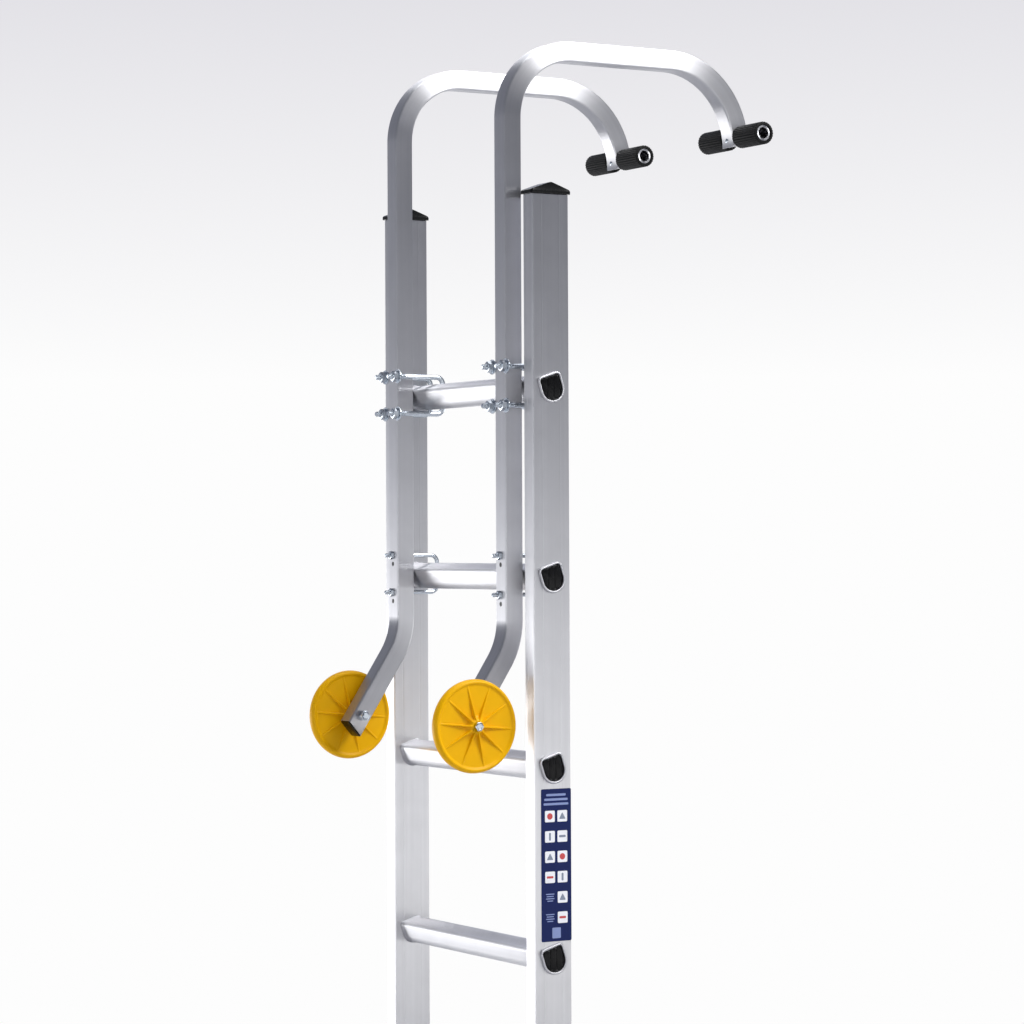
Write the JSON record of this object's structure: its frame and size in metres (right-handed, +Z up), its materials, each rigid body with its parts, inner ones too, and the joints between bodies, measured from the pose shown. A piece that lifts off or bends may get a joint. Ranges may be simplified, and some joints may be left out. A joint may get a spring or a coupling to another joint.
{
  "type": "extension ladder",
  "caption": "Two-section aluminium extension ladder with D-shaped rungs and a bolt-on roof hook kit: bent square tubes, padded ridge bars and roof wheels.",
  "frame": {"origin": "on the ground midway between the two feet, in the middle of the base stiles front to back", "axes": "+Z up the ladder, +X to the climber's right, -Y the climber's side, +Y the wall or roof side"},
  "size_m": [0.44, 0.5108, 3.3793],
  "materials": {
    "mill_aluminium": "mill finish extrusion, satin with fine lines along its length",
    "zinc_steel": "bright zinc plate with a faint blue tint",
    "pressed_steel": "dull zinc plate",
    "yellow_plastic": "moulded, satin",
    "black_rubber": "moulded, matt",
    "black_plastic": "moulded, satin"
  },
  "bodies": {
    "base": {"base_guide_left": "pressed_steel", "base_guide_right": "pressed_steel", "base_rung_1": "mill_aluminium", "base_rung_2": "mill_aluminium", "base_rung_3": "mill_aluminium", "base_rung_4": "mill_aluminium", "base_rung_5": "mill_aluminium", "base_rung_6": "mill_aluminium", "base_rung_7": "mill_aluminium", "base_stile_left": "mill_aluminium", "base_stile_right": "mill_aluminium", "foot_left": "black_rubber", "foot_right": "black_rubber"},
    "fly": {"axle_nut_left": "zinc_steel", "axle_nut_right": "zinc_steel", "cross_bar_left": "mill_aluminium", "cross_bar_right": "mill_aluminium", "fly_cap_left": "black_plastic", "fly_cap_right": "black_plastic", "fly_guide_left": "pressed_steel", "fly_guide_right": "pressed_steel", "fly_rung_1": "mill_aluminium", "fly_rung_2": "mill_aluminium", "fly_rung_3": "mill_aluminium", "fly_rung_4": "mill_aluminium", "fly_rung_5": "mill_aluminium", "fly_rung_6": "mill_aluminium", "fly_rung_7": "mill_aluminium", "fly_stile_left": "mill_aluminium", "fly_stile_right": "mill_aluminium", "hook_tube_left": "mill_aluminium", "hook_tube_right": "mill_aluminium", "lower_nut_high_left": "zinc_steel", "lower_nut_high_right": "zinc_steel", "lower_nut_low_left": "zinc_steel", "lower_nut_low_right": "zinc_steel", "lower_ubolt_left": "zinc_steel", "lower_ubolt_right": "zinc_steel", "sleeve_inner_left": "black_rubber", "sleeve_inner_right": "black_rubber", "sleeve_outer_left": "black_rubber", "sleeve_outer_right": "black_rubber", "upper_nut_inner_high_left": "zinc_steel", "upper_nut_inner_high_right": "zinc_steel", "upper_nut_inner_low_left": "zinc_steel", "upper_nut_inner_low_right": "zinc_steel", "upper_nut_outer_high_left": "zinc_steel", "upper_nut_outer_high_right": "zinc_steel", "upper_nut_outer_low_left": "zinc_steel", "upper_nut_outer_low_right": "zinc_steel", "upper_ubolt_inner_left": "zinc_steel", "upper_ubolt_inner_right": "zinc_steel", "upper_ubolt_outer_left": "zinc_steel", "upper_ubolt_outer_right": "zinc_steel", "wheel_axle_left": "zinc_steel", "wheel_axle_right": "zinc_steel"},
    "latch_left": {"latch_left": "pressed_steel"},
    "latch_right": {"latch_right": "pressed_steel"},
    "wheel_left": {"wheel_left": "yellow_plastic"},
    "wheel_right": {"wheel_right": "yellow_plastic"}
  },
  "joints": [
    {"name": "fly_slide", "type": "slide", "parent": "base", "child": "fly", "axis": [0, 0, 1], "range_m": [-1.25, 0]},
    {"name": "latch_left_pivot", "type": "hinge", "parent": "fly", "child": "latch_left", "pos_m": [-0.171, -0.06, 1.4793], "axis": [1, 0, 0], "range_deg": [0, 60]},
    {"name": "latch_right_pivot", "type": "hinge", "parent": "fly", "child": "latch_right", "pos_m": [0.171, -0.06, 1.4793], "axis": [1, 0, 0], "range_deg": [0, 60]},
    {"name": "wheel_left_spin", "type": "hinge", "parent": "fly", "child": "wheel_left", "pos_m": [-0.1757, -0.16197, 2.4713], "axis": [1, 0, 0], "continuous": true},
    {"name": "wheel_right_spin", "type": "hinge", "parent": "fly", "child": "wheel_right", "pos_m": [0.1757, -0.16197, 2.4713], "axis": [1, 0, 0], "continuous": true}
  ]
}
